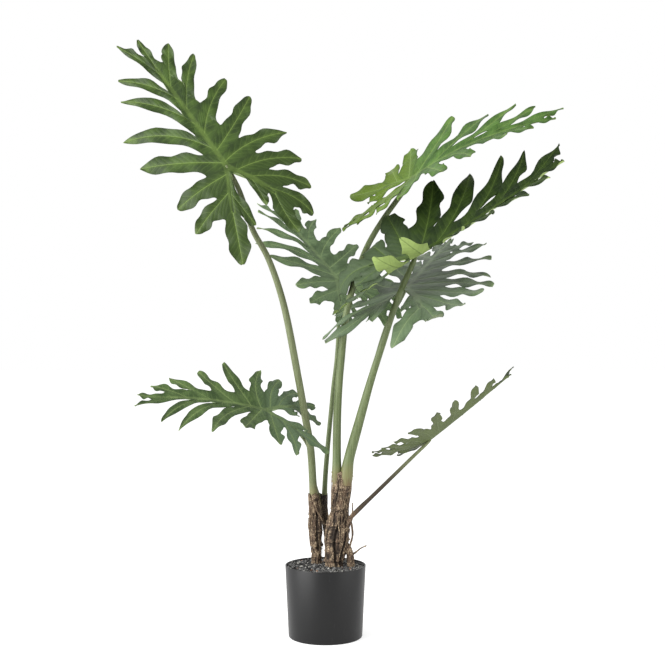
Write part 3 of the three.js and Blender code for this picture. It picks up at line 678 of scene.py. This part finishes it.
def blade(leaf, seed, materials):
    """One leaf blade with its deeply cut lobes, pressed veins and wavy margins."""
    draw = draws(seed)
    shares = [-s for s in SHARES[:0:-1]] + SHARES
    points, lobe_map, edge_map, faces, rib_loop = [], [], [], [], []
    feet = [np.array(lobe[5], float) for lobe in LOBES]
    notches = [web_end(leaf, lobe, after) for lobe, after in zip(LOBES, LOBES[1:] + LOBES[:1])]
    for i, (name, root, tip, half, _, _, bow, point) in enumerate(LOBES):
        vein = Vein(root, tip, bow)
        sides = []
        wave = min(1, vein.length / FULL_WAVE_LENGTH) * MARGIN_WAVE
        broadest = leaf["broad"] * half

        def half_at(t, phase):
            swell = 1 + wave * math.sin(2 * math.pi * (MARGIN_WAVE_CYCLES * t + phase))
            return broadest * lobe_width(t, point) * swell

        for sign, place in ((-1, notches[i - 1]), (1, notches[i])):
            phase, ripple = next(draw), next(draw)
            excess = sign * vein.aside(place) - half_at(0, phase)
            sides.append((vein.share(place), sign, phase, ripple, excess))
        start = max(HEART_START, (sides[0][0] + sides[1][0]) / 2)
        heart = vein.at(start)
        lift = math.radians(leaf["lifts"].get(name, 0))
        rows = []
        for k in range(WEB_ROWS + 1):
            t = k / WEB_ROWS
            left = mix(feet[i - 1], notches[i - 1], t)
            right = mix(feet[i], notches[i], t)
            rows.append((left, vein.at(start * t), right, 0, start * t, (0, 0), t))
        for t in FREE_ROWS:
            margin = []
            for begin, sign, phase, _, excess in sides:
                if excess > 0:
                    fade = max(0, 1 - math.sqrt(t / OUTER_FADE_END))
                else:
                    fade = max(0, 1 - t / INNER_FADE_END) ** 2
                width = half_at(t, phase) + excess * fade
                margin.append(vein.at(mix(begin, 1, t)) + vein.left * sign * width)
            calm = 1 - max(0, 1 - t / RIPPLE_FULL) ** 2
            turns = [2 * math.pi * (MARGIN_RIPPLE_CYCLES * t + side[3]) for side in sides]
            heave = [MARGIN_RIPPLE * calm * math.sin(turn) for turn in turns]
            along = mix(start, 1, t)
            rows.append((margin[0], vein.at(along), margin[1], t, along, heave, 1 - t))
        for left, middle, right, t, along, heave, crown in rows:
            for s in shares:
                flat = mix(middle, left if s < 0 else right, abs(s))
                aside = math.hypot(*(flat - middle))
                ahead = float((flat - heart) @ vein.run)
                bent = lift * t / 2
                shrink = float(sinc(bent)) * math.cos(bent) - 1
                flat = flat + vein.run * ahead * shrink
                rise = ahead * float(sinc(bent)) * math.sin(bent)
                rise += heave[0 if s < 0 else 1] * s * s + WEB_CROWN * crown * abs(s)
                trough = VEIN_DEPTH * math.exp(-((aside / VEIN_WIDTH) ** 2))
                rise -= trough * min(1, along * VEIN_RISE) * (1 - along * VEIN_FADE)
                points.append((*flat, rise))
                lobe_map.append((math.copysign(aside, s), along * vein.length))
                edge_map.append((abs(s), t))
        first = len(points) - len(rows) * len(shares)
        wide = len(shares)
        for r in range(len(rows) - 1):
            for c in range(wide - 1):
                a = first + r * wide + c
                faces.append((a, a + wide, a + wide + 1, a + 1))
        bent = lift / 2
        ahead = float((np.array(tip) - heart) @ vein.run)
        end = np.array(tip, float) + vein.run * ahead * (float(sinc(bent)) * math.cos(bent) - 1)
        points.append((*end, ahead * float(sinc(bent)) * math.sin(bent)))
        lobe_map.append((0, vein.length))
        edge_map.append((0, 1))
        last = first + (len(rows) - 1) * wide
        for c in range(wide - 1):
            faces.append((last + c, len(points) - 1, last + c + 1))
        rib_loop += range(first, first + wide - 1)
    base = np.array([points[i] for i in rib_loop])
    loop = list(range(len(points), len(points) + len(rib_loop)))
    points += [tuple(p) for p in base]
    lobe_map += [(30, 0)] * len(loop)
    edge_map += [(0, 0)] * len(loop)
    for a, b, c in tessellate_polygon([[Vector((x, y, 0)) for x, y, _ in base]]):
        ab, ac = base[b, :2] - base[a, :2], base[c, :2] - base[a, :2]
        turn = ab[0] * ac[1] - ab[1] * ac[0]
        faces.append(tuple(loop[0] + n for n in ((a, b, c) if turn > 0 else (a, c, b))))
    points = np.array(points)
    bent_points = bend_blade(leaf, points[:, :2], points[:, 2])
    piece = new_piece("leaf_" + leaf["name"], bent_points, faces, materials)
    store(piece, "rib", rib_distance(points[:, :2]))
    store(piece, "across", points[:, 0])
    store(piece, "ahead", points[:, 1])
    store_map(piece, "lobe", lobe_map)
    store_map(piece, "edge", edge_map)
    close_seams()
    wall = piece.modifiers.new("wall", "SOLIDIFY")
    wall.thickness = BLADE_THICKNESS * MM
    wall.offset = 0
    wall.material_offset = 1
    bpy.ops.object.modifier_apply(modifier="wall")
    smooth(piece, 50)
    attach(piece, "root")
    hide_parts("blade_" + leaf["name"])
    return piece


def smooth_run(points, count):
    """Evenly spaced points on the smooth curve through the given ones."""
    p = np.array(points, float)
    p = np.vstack((2 * p[0] - p[1], p, 2 * p[-1] - p[-2]))
    fine = []
    for i in range(len(p) - 3):
        p0, p1, p2, p3 = p[i : i + 4]
        d0, d1, d2 = (math.sqrt(np.linalg.norm(b - a)) for a, b in ((p0, p1), (p1, p2), (p2, p3)))
        t1 = ((p1 - p0) / d0 - (p2 - p0) / (d0 + d1) + (p2 - p1) / d1) * d1
        t2 = ((p2 - p1) / d1 - (p3 - p1) / (d1 + d2) + (p3 - p2) / d2) * d1
        for u in np.linspace(0, 1, 40, endpoint=False):
            c2, c3 = -3 * p1 + 3 * p2 - 2 * t1 - t2, 2 * p1 - 2 * p2 + t1 + t2
            fine.append(p1 + t1 * u + c2 * u * u + c3 * u**3)
    fine.append(p[-2])
    fine = np.array(fine)
    length = np.concatenate(((0,), np.cumsum(np.linalg.norm(np.diff(fine, axis=0), axis=1))))
    even = np.linspace(0, length[-1], count)
    return np.stack([np.interp(even, length, fine[:, k]) for k in range(3)], axis=1), even


def swept(centres, radii, sides):
    """Rings of points round a run of centres, with a radius for each ring."""
    ahead = np.gradient(centres, axis=0)
    ahead /= np.linalg.norm(ahead, axis=1)[:, None]
    side = np.cross(ahead[0], (0.3, 0.9, 0.1))
    rings = []
    turns = np.arange(sides) * 2 * math.pi / sides
    for centre, way, radius in zip(centres, ahead, radii):
        side = side - way * (side @ way)
        side /= np.linalg.norm(side)
        other = np.cross(way, side)
        rings.append(centre + radius * (np.outer(np.cos(turns), side) + np.outer(np.sin(turns), other)))
    return np.array(rings)


def ring_faces(count, sides, first=0):
    """Faces of a tube of rings, with a fan on each end to the two points after the rings."""
    faces = []
    for r in range(count - 1):
        for s in range(sides):
            a, b = first + r * sides + s, first + r * sides + (s + 1) % sides
            faces.append((a, b, b + sides, a + sides))
    low = first + count * sides
    top = first + (count - 1) * sides
    for s in range(sides):
        after = (s + 1) % sides
        faces += [(low, first + after, first + s), (low + 1, top + s, top + after)]
    return faces


def stalk(leaf, material):
    """A leaf's long stalk, which narrows into the base of its midrib."""
    centres, run = smooth_run([*leaf["stalk"], leaf["joint"]], STALK_RINGS)
    share = run / run[-1]
    radii = np.interp(share, (0, 0.5, 1), leaf["thick"])
    radii *= np.interp(run[-1] - run, *STALK_END)
    radii *= 1 + SHEATH_SWELL * np.exp(-((run - SHEATH_MIDDLE) / SHEATH_REACH) ** 2)
    rings = swept(centres, radii, STALK_SIDES)
    points = [*rings.reshape(-1, 3), centres[0], centres[-1]]
    faces = ring_faces(len(rings), STALK_SIDES)
    piece = new_piece("petiole_" + leaf["name"], points, faces, [material])
    around = np.append(np.tile(np.arange(STALK_SIDES) / STALK_SIDES, len(rings)), (0, 0))
    along = np.append(np.repeat(run, STALK_SIDES), (0, run[-1]))
    store_map(piece, "run", np.stack((around, along), axis=1))
    smooth(piece, 60)
    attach(piece, "root")
    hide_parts("stalk_" + leaf["name"])
    return piece


def bark_skin(rings, centres, axis_length, seed, rough, scars, knots, grooves, ragged):
    """Roughens rings of points into bark with scars, knots, grooves and a ragged top edge.

    Gives the points, their relief and their paleness.
    """
    draw = draws(seed)
    count, sides = rings.shape[:2]
    out = rings - centres[:, None, :]
    radius = np.linalg.norm(out, axis=2)
    turns = np.arange(sides) * 2 * math.pi / sides
    relief = np.zeros((count, sides))
    for r in range(count):
        v = axis_length[r]
        for s in range(sides):
            c, n = math.cos(turns[s]), math.sin(turns[s])
            for often, along, high in BARK_LAYERS:
                spot = Vector((c * often + seed, n * often, v * along))
                relief[r, s] += noise.noise(spot) * high
    pale = np.zeros((count, sides))
    v = axis_length[:, None]
    for level, size in scars:
        lean, way = next(draw) * 4, next(draw) * 6.28
        off = v - level - lean * np.cos(turns[None, :] - way)
        shadow = np.exp(-(((off + SCAR_SHADOW) / SHADOW_WIDTH) ** 2))
        relief += size * np.exp(-((off / SCAR_WIDTH) ** 2)) - size * 0.7 * shadow
    for _ in range(knots):
        level, way, size = next(draw) * axis_length[-1], next(draw) * 6.28, 0.9 + next(draw) * 1.5
        gap = (turns[None, :] - way + math.pi) % (2 * math.pi) - math.pi
        bump = np.exp(-(((v - level) / size) ** 2) - (gap * radius / size) ** 2)
        relief += bump * size * 0.9
        pale = np.maximum(pale, bump)
    relief *= rough
    for way, low, high, depth in grooves:
        middle = math.radians(way) + GROOVE_SWAY * np.sin(v / GROOVE_WAVE + way)
        gap = (turns[None, :] - middle + math.pi) % (2 * math.pi) - math.pi
        window = np.clip((v - low) / GROOVE_FADE, 0, 1) * np.clip((high - v) / GROOVE_FADE, 0, 1)
        relief -= depth * window * np.exp(-((gap * radius / GROOVE_WIDTH) ** 2))
    grown = centres[:, None, :] + out * ((radius + relief) / radius)[..., None]
    top = np.clip((v - axis_length[-1] + FRAY_REACH) / FRAY_REACH, 0, 1) ** 2
    fray = [noise.noise(Vector((math.cos(a) * 3, math.sin(a) * 3, seed))) for a in turns]
    grown[..., 2] += ragged * top * np.array(fray)
    return grown, relief, pale


def bark_piece(
    name, centres, rings, length, seed, rough, scars, knots, material, node,
    grooves=(), ragged=0,
):
    """A closed piece of bark. One with no CAD node of its own is an added small form."""
    skin = bark_skin(rings, centres, length, seed, rough, scars, knots, grooves, ragged)
    grown, relief, pale = skin
    count, sides = relief.shape
    points = [*grown.reshape(-1, 3), centres[0], centres[-1]]
    piece = new_piece(name, points, ring_faces(count, sides), [material])
    store(piece, "relief", [*relief.ravel(), 0, 0])
    store(piece, "pale", [*pale.ravel(), 0, 0])
    smooth(piece, 60)
    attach(piece, "root")
    if node:
        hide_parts(node)
    return piece


def stem(name, rows, seed, rough, scars, knots, material, node, grooves=()):
    """A scarred upright stem from rows of centre and radii."""
    rows = np.array([(rows[0][0], rows[0][1], GRAVEL_TOP - STEM_SUNK, *rows[0][3:]), *rows[1:]], float)
    levels = np.arange(rows[0, 2], rows[-1, 2], BARK_STEP)
    x, y, across, deep = (np.interp(levels, rows[:, 2], rows[:, k]) for k in (0, 1, 3, 4))
    turns = np.arange(STEM_SIDES) * 2 * math.pi / STEM_SIDES
    centres = np.stack((x, y, levels), axis=1)
    rings = np.stack(
        (
            x[:, None] + across[:, None] * np.cos(turns),
            y[:, None] + deep[:, None] * np.sin(turns),
            np.repeat(levels[:, None], STEM_SIDES, axis=1),
        ),
        axis=2,
    )
    return bark_piece(
        name, centres, rings, levels - levels[0], seed, rough, scars, knots, material, node,
        grooves, STEM_FRAY,
    )


def bark_root(name, points, radii, seed, rough, material):
    """A woody shoot or root along a curve."""
    run = sum(math.dist(a, b) for a, b in zip(points, points[1:]))
    centres, length = smooth_run(points, max(12, int(run / BARK_STEP)))
    widths = np.interp(length / length[-1], np.linspace(0, 1, len(radii)), radii)
    rings = swept(centres, widths, ROOT_SIDES)
    return bark_piece(name, centres, rings, length, seed, rough, (), ROOT_KNOTS, material, None)


def fibres(material):
    """Dry hair roots that cling to the stems and stand off a little."""
    draw = draws(HAIR_SEED)
    points, faces = [], []
    for rows, count in HAIR_COUNTS:
        rows = np.array(rows, float)
        for _ in range(count):
            low = mix(GRAVEL_TOP + 4, rows[-1, 2] - 40, next(draw))
            high = min(rows[-1, 2] - 2, low + 16 + 46 * next(draw))
            way = 2 * math.pi * next(draw)
            drift = (next(draw) - 0.5) * 0.9
            stand = 0.4 + 1.6 * next(draw)
            line = []
            for k in range(HAIR_POINTS):
                share = k / (HAIR_POINTS - 1)
                level = mix(low, high, share)
                x, y, across, deep = (np.interp(level, rows[:, 2], rows[:, n]) for n in (0, 1, 3, 4))
                turn = way + drift * share + 0.12 * (next(draw) - 0.5)
                off = stand * math.sin(math.pi * share) + 0.5
                x += (across + off) * math.cos(turn)
                y += (deep + off) * math.sin(turn)
                line.append((x, y, level))
            centres, _ = smooth_run(line, HAIR_RINGS)
            thick = 0.35 + 0.45 * next(draw)
            rings = swept(centres, np.full(HAIR_RINGS, thick), HAIR_SIDES)
            faces += ring_faces(HAIR_RINGS, HAIR_SIDES, len(points))
            points += [*rings.reshape(-1, 3), centres[0], centres[-1]]
    piece = new_piece("hair_roots", points, faces, [material])
    store(piece, "relief", np.full(len(points), 0.4))
    store(piece, "pale", np.full(len(points), 0.25))
    smooth(piece, 60)
    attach(piece, "root")
    return piece


def pot_shell(material):
    """The tapered pot: one wall, a flat floor inside, and rounded rim and foot."""
    bpy.ops.object.select_all(action="DESELECT")
    height = POT_HEIGHT * MM
    bpy.ops.mesh.primitive_cylinder_add(
        vertices=POT_SIDES, radius=POT_FOOT_RADIUS * MM, depth=height, location=(0, 0, height / 2)
    )
    piece = bpy.context.object
    piece.name = "pot_shell"
    bpy.ops.object.transform_apply(location=True)
    bpy.ops.object.mode_set(mode="EDIT")
    pick_faces(piece, lambda face: face.normal.z > 0.9)
    widen(POT_TOP_RADIUS / POT_FOOT_RADIUS)
    bpy.ops.mesh.inset(thickness=POT_WALL * MM)
    down = (0, 0, POT_FLOOR * MM - height)
    bpy.ops.mesh.extrude_region_move(TRANSFORM_OT_translate={"value": down})
    inner_top = POT_TOP_RADIUS - POT_WALL
    inner_foot = mix(POT_FOOT_RADIUS, POT_TOP_RADIUS, POT_FLOOR / POT_HEIGHT) - POT_WALL
    widen(inner_foot / inner_top)

    def on_foot(a, b):
        return max(a.z, b.z) < SAME_HEIGHT

    def on_rim(a, b):
        level = min(a.z, b.z) > height - SAME_HEIGHT
        return level and abs(a.xy.length - b.xy.length) < SAME_HEIGHT

    round_edge(piece, on_foot, POT_FOOT_ROUND, 5)
    round_edge(piece, on_rim, POT_RIM_ROUND, 3)
    bpy.ops.object.mode_set(mode="OBJECT")
    piece.data.materials.append(material)
    smooth(piece, 40)
    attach(piece, "root")
    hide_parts("pot")
    return piece


def pick_faces(piece, chosen):
    bpy.ops.mesh.select_mode(type="FACE")
    bpy.ops.mesh.select_all(action="DESELECT")
    bpy.ops.object.mode_set(mode="OBJECT")
    for face in piece.data.polygons:
        face.select = chosen(face)
    bpy.ops.object.mode_set(mode="EDIT")


def widen(factor):
    bpy.ops.transform.resize(value=(factor, factor, 1))


def round_edge(piece, chosen, radius, segments):
    bpy.ops.mesh.select_mode(type="EDGE")
    bpy.ops.mesh.select_all(action="DESELECT")
    bpy.ops.object.mode_set(mode="OBJECT")
    corners = piece.data.vertices
    for edge in piece.data.edges:
        a, b = (corners[n].co for n in edge.vertices)
        edge.select = chosen(a, b)
    bpy.ops.object.mode_set(mode="EDIT")
    bpy.ops.mesh.bevel(offset=radius * MM, segments=segments)


def granules(material):
    """Loose mineral granules over the filling, clear of the stems."""
    draw = draws(GRANULE_SEED)
    bpy.ops.object.select_all(action="DESELECT")
    bpy.ops.mesh.primitive_ico_sphere_add(subdivisions=1, radius=1)
    grain = bpy.context.object
    shape = np.array([v.co for v in grain.data.vertices])
    sides = [tuple(p.vertices) for p in grain.data.polygons]
    bpy.data.objects.remove(grain)
    stems = [SHOOT_FOOT]
    for rows in (STEM_MAIN, STEM_LEFT, STEM_BACK):
        x, y, _, across, deep = rows[0]
        stems.append((x, y, across - STEM_OVERLAP, deep - STEM_OVERLAP))
    points, faces, tones = [], [], []
    for _ in range(GRANULES):
        reach = GRAVEL_RADIUS * math.sqrt(next(draw))
        way = 2 * math.pi * next(draw)
        x, y = reach * math.cos(way), reach * math.sin(way)
        size = GRANULE_SIZE + GRANULE_SPREAD * next(draw) ** 1.5
        heap = HEAP_HEIGHT * noise.noise(Vector((x * 0.05, y * 0.05, 3)))
        z = GRAVEL_TOP + 0.6 + heap + 1.7 * next(draw)
        lumps = np.array([0.75 + 0.5 * next(draw) for _ in shape])
        squash = np.array((0.8 + 0.5 * next(draw), 0.8 + 0.4 * next(draw), 0.65 + 0.4 * next(draw)))
        spin = np.array(Matrix.Rotation(6.28 * next(draw), 3, "Z"))
        tone = next(draw)
        if any(((x - a) / c) ** 2 + ((y - b) / d) ** 2 < 1 for a, b, c, d in stems):
            continue
        first = len(points)
        points += list((shape * lumps[:, None] * squash * size) @ spin.T + (x, y, z))
        faces += [tuple(first + k for k in side) for side in sides]
        tones += [tone] * len(shape)
    piece = new_piece("gravel_granules", points, faces, [material])
    store(piece, "tone", tones)
    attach(piece, "root")
    return piece


def soft_light(name, place, aim, size, power):
    """A large soft panel that faces aim."""
    lamp = bpy.data.lights.new(name, "AREA")
    lamp.shape = "RECTANGLE"
    lamp.size, lamp.size_y = size
    lamp.energy = power
    holder = bpy.data.objects.new(name, lamp)
    holder.location = place
    holder.rotation_mode = "QUATERNION"
    holder.rotation_quaternion = (Vector(aim) - Vector(place)).to_track_quat("-Z", "Y")
    bpy.context.scene.collection.objects.link(holder)


def studio():
    """White surroundings, a pale floor, two large soft panels and the camera."""
    scene = bpy.context.scene
    world = bpy.data.worlds.new("studio")
    world.use_nodes = True
    world.node_tree.nodes["Background"].inputs["Color"].default_value = (1, 1, 1, 1)
    world.node_tree.nodes["Background"].inputs["Strength"].default_value = 1.0
    scene.world = world
    scene.view_settings.view_transform = "Standard"
    bpy.ops.object.select_all(action="DESELECT")
    bpy.ops.mesh.primitive_plane_add(size=FLOOR_SIZE, location=(0, 0, 0))
    floor = bpy.context.object
    floor.name = "floor"
    floor.data.materials.append(floor_finish())
    floor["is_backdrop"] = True
    soft_light("key_panel", (-1.9, -1.1, 1.0), (0, 0, 0.5), (2.2, 2.0), KEY_POWER)
    soft_light("side_panel", (2.0, -1.0, 0.9), (0, 0, 0.4), (2.2, 1.8), SIDE_POWER)
    lens = bpy.data.cameras.new("camera")
    lens.lens = CAMERA_LENS
    lens.sensor_width = SENSOR_WIDTH
    camera = bpy.data.objects.new("camera", lens)
    camera.location = CAMERA_PLACE
    camera.rotation_euler = (math.pi / 2, 0, 0)
    scene.collection.objects.link(camera)
    scene.camera = camera


# For each leaf: its face, its darker patches, its veins, its underside and its back lobes.
# The tones also paint light: leaf d's dark face is painted shade under leaf c, and the grey
# faces of b and e and the grey back lobes of d are a painted sheen.
LEAF_TONES = {
    "a": (
        (0.03, 0.055, 0.009), (0.013, 0.026, 0.0045), (0.1, 0.15, 0.032), (0.07, 0.1, 0.03),
        (0.018, 0.034, 0.005),
    ),
    "b": (
        (0.084, 0.13, 0.058), (0.046, 0.076, 0.032), (0.18, 0.25, 0.1), (0.12, 0.15, 0.07),
        (0.084, 0.13, 0.058),
    ),
    "c": (
        (0.053, 0.112, 0.02), (0.026, 0.062, 0.01), (0.14, 0.21, 0.05), (0.06, 0.1, 0.01),
        (0.068, 0.115, 0.006),
    ),
    "d": (
        (0.02, 0.038, 0.0055), (0.008, 0.018, 0.003), (0.07, 0.11, 0.022), (0.21, 0.285, 0.08),
        (0.04, 0.062, 0.028),
    ),
    "e": (
        (0.07, 0.105, 0.054), (0.036, 0.056, 0.028), (0.16, 0.21, 0.1), (0.1, 0.135, 0.055),
        (0.07, 0.105, 0.054),
    ),
    "g": (
        (0.056, 0.092, 0.028), (0.024, 0.045, 0.013), (0.17, 0.23, 0.08), (0.18, 0.23, 0.12),
        (0.075, 0.115, 0.06),
    ),
    "h": (
        (0.03, 0.042, 0.022), (0.016, 0.024, 0.012), (0.1, 0.13, 0.05), (0.072, 0.094, 0.03),
        (0.04, 0.05, 0.026),
    ),
}
# Painted shade: the darker tone of the left half of leaf d's underside
UNDER_LEFT_SHADE = {"d": (0.012, 0.022, 0.005)}

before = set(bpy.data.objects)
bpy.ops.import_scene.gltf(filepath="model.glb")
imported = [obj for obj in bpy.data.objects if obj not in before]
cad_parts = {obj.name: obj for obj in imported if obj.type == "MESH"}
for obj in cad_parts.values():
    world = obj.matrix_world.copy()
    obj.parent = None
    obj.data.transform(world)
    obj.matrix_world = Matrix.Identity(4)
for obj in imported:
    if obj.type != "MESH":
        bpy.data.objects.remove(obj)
cad_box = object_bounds()

bark = bark_finish("bark_brown", (0.095, 0.062, 0.04), (0.018, 0.012, 0.008), (0.4, 0.31, 0.2))
sheath = bark_finish("sheath_dark", (0.022, 0.015, 0.01), (0.01, 0.007, 0.005), (0.14, 0.11, 0.07))
olive_foot = (0.15, 0.125, 0.05)
grey_stalk = stalk_finish("stalk_grey", (0.07, 0.082, 0.034), (0.112, 0.132, 0.064), olive_foot, 60, 0.45)
olive_stalk = stalk_finish("stalk_olive", (0.062, 0.084, 0.03), (0.11, 0.136, 0.06), olive_foot, 50, 0.45)
brown_foot = (0.022, 0.013, 0.007)
thin_stalk = stalk_finish("stalk_brown", (0.09, 0.105, 0.045), (0.14, 0.16, 0.08), brown_foot, 200, 0.95)
stalks = {"a": grey_stalk, "g": grey_stalk, "h": thin_stalk}
for order, leaf in enumerate(LEAVES):
    name = leaf["name"]
    face, shade, vein, under, back = LEAF_TONES[name]
    upper = leaf_upper("leaf_upper_" + name, face, shade, vein, back)
    lower = leaf_under("leaf_under_" + name, under, vein, UNDER_LEFT_SHADE.get(name, under))
    blade(leaf, LEAF_SEED + order, [upper, lower])
    stalk(leaf, stalks.get(name, olive_stalk))

# Scars: level and height. Grooves: direction in degrees, lower and upper end, and depth.
trunk_scars = [(22, 1.2), (58, 1.4), (88, 1.3), (118, 1.0), (150, 1.2)]
trunk_grooves = [
    (-94, 12, 105, 6), (-150, 20, 90, 3.5), (-48, 4, 130, 4.5), (-118, 60, 175, 3), (60, 10, 120, 4),
]
stem("trunk_bark", STEM_MAIN, 7, 1.1, trunk_scars, 110, bark, "stem_main", grooves=trunk_grooves)
left_scars = [(45, 1.4), (72, 1.0), (104, 1.0)]
stem("left_bark", STEM_LEFT, 11, 0.8, left_scars, 40, bark, "stem_left", grooves=[(-70, 30, 120, 2.5)])
stem("back_sheath", STEM_BACK, 13, 0.6, [(60, 0.8)], 16, sheath, "stem_back")
# Shoots and roots: name, curve, radii along it, seed and roughness
ROOTS = [
    (
        "side_shoot", [(47, -8, 122), (47, -8, 140), (45, -9, 156), (38, -8, 172)],
        (7, 7, 6), 3, 0.6,
    ),
    ("knuckle", [(34, -8, 196), (41, -12, 210), (46, -14, 224)], (6, 5.5, 5.5), 4, 0.5),
    (
        "hooked_root",
        [(46, -15, 218), (49, -16, 206), (50, -15, 190), (46, -12, 172), (42, -8, 160)],
        (2, 1.6, 2), 5, 0.3,
    ),
    (
        "stray_root", [(46, -8, 150), (56, -12, 158), (66, -14, 166), (76, -15, 171)],
        (2, 1.4, 0.8), 6, 0.3,
    ),
    ("upright_root", [(48, -15, 222), (50, -16, 234), (50, -17, 250)], (1.6, 1.1, 0.8), 8, 0.3),
    (
        "left_root", [(-24, 14, 258), (-16, 8, 232), (-6, 10, 214), (-2, 16, 204)],
        (1.8, 1.4, 1), 9, 0.3,
    ),
]
for name, curve, radii, seed, rough in ROOTS:
    bark_root(name, curve, radii, seed, rough, bark)
fibres(bark)
pot_shell(pot_finish())
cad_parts["gravel"].data.materials.clear()
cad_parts["gravel"].data.materials.append(gravel_finish("gravel_bed", False))
granules(gravel_finish("gravel_loose", True))
studio()

look_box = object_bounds()
boxes = {"cad": cad_box, "visual": look_box}
boxes = {name: [list(corner) for corner in box] for name, box in boxes.items()}
